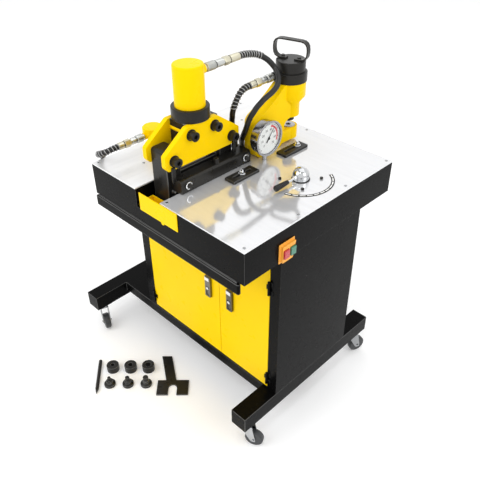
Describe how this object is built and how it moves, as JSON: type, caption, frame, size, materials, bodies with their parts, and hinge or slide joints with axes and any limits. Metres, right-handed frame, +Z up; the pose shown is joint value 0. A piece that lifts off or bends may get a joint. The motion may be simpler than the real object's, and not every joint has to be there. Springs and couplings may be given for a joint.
{
  "type": "busbar processing machine",
  "caption": "Wheeled yellow and black cabinet with a steel table carrying a hydraulic cutter, punch and bender, hoses, a pressure gauge and a selector lever.",
  "frame": {"origin": "on the floor, in the middle of the whole outline seen from above", "axes": "+X to the right along the door side, +Y towards the back, +Z up"},
  "size_m": [0.8866, 0.8652, 1.149],
  "materials": {
    "black_paint": "gloss black powder coat",
    "yellow_paint": "yellow enamel",
    "mirror_steel": "polished stainless sheet",
    "chrome": "bright plating",
    "dark_steel": "blackened steel",
    "tool_steel": "ground steel",
    "rubber": "matt black rubber",
    "tread": "grey wheel",
    "orange_plastic": "moulded plastic",
    "red_plastic": "moulded plastic",
    "green_plastic": "moulded plastic",
    "dial": "printed face",
    "grey_paint": "grey enamel"
  },
  "bodies": {
    "machine": {"base_frame": "black_paint", "cabinet_shell": "black_paint", "apron": "black_paint", "front_rail": "black_paint", "table_plate_left": "mirror_steel", "table_plate_right": "mirror_steel", "switch_plate": "orange_plastic", "cutter_frame": "dark_steel", "cutter_yoke": "dark_steel", "cutter_side_plate_right": "yellow_paint", "cutter_side_plate_left": "yellow_paint", "cutter_cylinder": "yellow_paint", "cutter_guide_bar": "dark_steel", "bender_bed": "dark_steel", "bender_head": "yellow_paint", "punch_frame": "yellow_paint", "punch_cap": "dark_steel", "punch_handle": "dark_steel", "punch_die": "tool_steel", "gauge_case": "chrome", "gauge_dial": "dial", "selector_scale": "dial", "coupler_cutter": "chrome", "coupler_punch": "chrome", "coupler_bender": "chrome", "hose_cutter": "rubber", "hose_punch": "rubber", "hose_bender": "rubber", "power_pack": "grey_paint"},
    "left_door": {"door_left": "yellow_paint"},
    "right_door": {"door_right": "yellow_paint"},
    "left_latch": {"latch_left": "chrome"},
    "right_latch": {"latch_right": "chrome"},
    "tray": {"scrap_tray": "yellow_paint"},
    "red_button": {"button_red": "red_plastic"},
    "green_button": {"button_green": "green_plastic"},
    "cutter_slide": {"cutter_ram": "dark_steel"},
    "bender_slide": {"bender_ram": "tool_steel"},
    "punch_slide": {"punch_ram": "dark_steel"},
    "front_stop": {"stop_bar_front": "black_paint"},
    "back_stop": {"stop_bar_back": "black_paint"},
    "selector": {"selector_dome": "chrome", "selector_grip": "rubber"},
    "needle": {"gauge_needle": "dark_steel"},
    "swivel_front_left": {"caster_fork_front_left": "chrome"},
    "wheel_front_left": {"caster_wheel_front_left": "tread"},
    "swivel_front_right": {"caster_fork_front_right": "chrome"},
    "wheel_front_right": {"caster_wheel_front_right": "tread"},
    "swivel_back_right": {"caster_fork_back_right": "chrome"},
    "wheel_back_right": {"caster_wheel_back_right": "tread"},
    "swivel_back_left": {"caster_fork_back_left": "chrome"},
    "wheel_back_left": {"caster_wheel_back_left": "tread"},
    "spare_die_small_body": {"spare_die_small": "dark_steel"},
    "spare_die_middle_body": {"spare_die_middle": "dark_steel"},
    "spare_die_large_body": {"spare_die_large": "dark_steel"},
    "spare_punch_small_body": {"spare_punch_small": "dark_steel"},
    "spare_punch_middle_body": {"spare_punch_middle": "dark_steel"},
    "spare_punch_large_body": {"spare_punch_large": "dark_steel"},
    "scriber_body": {"scriber": "dark_steel"},
    "fork_spanner_body": {"fork_spanner": "dark_steel"}
  },
  "joints": [
    {"name": "swivel_front_left", "type": "hinge", "parent": "machine", "child": "swivel_front_left", "pos_m": [-0.41331, -0.18829, 0.098], "axis": [0, 0, 1], "continuous": true},
    {"name": "wheel_front_left", "type": "hinge", "parent": "swivel_front_left", "child": "wheel_front_left", "pos_m": [-0.38888, -0.19719, 0.031], "axis": [0.342, 0.9397, 0], "continuous": true},
    {"name": "swivel_front_right", "type": "hinge", "parent": "machine", "child": "swivel_front_right", "pos_m": [0.38869, -0.18829, 0.098], "axis": [0, 0, 1], "continuous": true},
    {"name": "wheel_front_right", "type": "hinge", "parent": "swivel_front_right", "child": "wheel_front_right", "pos_m": [0.41226, -0.17731, 0.031], "axis": [-0.4226, 0.9063, 0], "continuous": true},
    {"name": "swivel_back_right", "type": "hinge", "parent": "machine", "child": "swivel_back_right", "pos_m": [0.38869, 0.37671, 0.098], "axis": [0, 0, 1], "continuous": true},
    {"name": "wheel_back_right", "type": "hinge", "parent": "swivel_back_right", "child": "wheel_back_right", "pos_m": [0.39759, 0.40114, 0.031], "axis": [-0.9397, 0.342, 0], "continuous": true},
    {"name": "swivel_back_left", "type": "hinge", "parent": "machine", "child": "swivel_back_left", "pos_m": [-0.41331, 0.37671, 0.098], "axis": [0, 0, 1], "continuous": true},
    {"name": "wheel_back_left", "type": "hinge", "parent": "swivel_back_left", "child": "wheel_back_left", "pos_m": [-0.39339, 0.39342, 0.031], "axis": [-0.6428, 0.766, 0], "continuous": true},
    {"name": "left_door", "type": "hinge", "parent": "machine", "child": "left_door", "pos_m": [-0.18731, -0.09109, 0.42], "axis": [0, 0, 1], "range_deg": [-105, 0]},
    {"name": "right_door", "type": "hinge", "parent": "machine", "child": "right_door", "pos_m": [0.38069, -0.09109, 0.42], "axis": [0, 0, 1], "range_deg": [0, 105]},
    {"name": "left_latch", "type": "hinge", "parent": "left_door", "child": "left_latch", "pos_m": [0.12069, -0.08659, 0.493], "axis": [-1, 0, 0], "range_deg": [0, 35], "stiffness_Nm_per_rad": 0.2},
    {"name": "right_latch", "type": "hinge", "parent": "right_door", "child": "right_latch", "pos_m": [0.21869, -0.08659, 0.493], "axis": [-1, 0, 0], "range_deg": [0, 35], "stiffness_Nm_per_rad": 0.2},
    {"name": "tray_slide", "type": "slide", "parent": "machine", "child": "tray", "axis": [0, -1, 0], "range_m": [0, 0.04]},
    {"name": "red_button", "type": "slide", "parent": "machine", "child": "red_button", "axis": [-1, 0, 0], "range_m": [0, 0.003], "stiffness_N_per_m": 400},
    {"name": "green_button", "type": "slide", "parent": "machine", "child": "green_button", "axis": [-1, 0, 0], "range_m": [0, 0.003], "stiffness_N_per_m": 400},
    {"name": "cutter_ram", "type": "slide", "parent": "machine", "child": "cutter_slide", "axis": [0, 0, -1], "range_m": [0, 0.015], "stiffness_N_per_m": 20000, "springref_m": -0.004},
    {"name": "bender_ram", "type": "slide", "parent": "machine", "child": "bender_slide", "axis": [0, 1, 0], "range_m": [0, 0.056], "stiffness_N_per_m": 200, "springref_m": -0.002},
    {"name": "punch_ram", "type": "slide", "parent": "machine", "child": "punch_slide", "axis": [0, 0, -1], "range_m": [0, 0.017], "stiffness_N_per_m": 4000, "springref_m": -0.004},
    {"name": "front_stop", "type": "slide", "parent": "machine", "child": "front_stop", "axis": [0, 1, 0], "range_m": [-0.03, 0.03]},
    {"name": "back_stop", "type": "slide", "parent": "machine", "child": "back_stop", "axis": [0, 1, 0], "range_m": [-0.008, 0.05]},
    {"name": "selector_lever", "type": "hinge", "parent": "machine", "child": "selector", "pos_m": [0.28669, 0.14171, 0.818], "axis": [0, 0, 1], "range_deg": [0, 150]},
    {"name": "needle", "type": "hinge", "parent": "machine", "child": "needle", "pos_m": [0.14399, 0.15671, 0.894], "axis": [1, 0, 0], "range_deg": [-95, 170]},
    {"name": "lift_spare_die_small", "type": "slide", "parent": "machine", "child": "spare_die_small_body", "axis": [0, 0, 1], "range_m": [0, 0.1]},
    {"name": "lift_spare_die_middle", "type": "slide", "parent": "machine", "child": "spare_die_middle_body", "axis": [0, 0, 1], "range_m": [0, 0.1]},
    {"name": "lift_spare_die_large", "type": "slide", "parent": "machine", "child": "spare_die_large_body", "axis": [0, 0, 1], "range_m": [0, 0.1]},
    {"name": "lift_spare_punch_small", "type": "slide", "parent": "machine", "child": "spare_punch_small_body", "axis": [0, 0, 1], "range_m": [0, 0.1]},
    {"name": "lift_spare_punch_middle", "type": "slide", "parent": "machine", "child": "spare_punch_middle_body", "axis": [0, 0, 1], "range_m": [0, 0.1]},
    {"name": "lift_spare_punch_large", "type": "slide", "parent": "machine", "child": "spare_punch_large_body", "axis": [0, 0, 1], "range_m": [0, 0.1]},
    {"name": "lift_scriber", "type": "slide", "parent": "machine", "child": "scriber_body", "axis": [0, 0, 1], "range_m": [0, 0.1]},
    {"name": "lift_fork_spanner", "type": "slide", "parent": "machine", "child": "fork_spanner_body", "axis": [0, 0, 1], "range_m": [0, 0.1]}
  ]
}
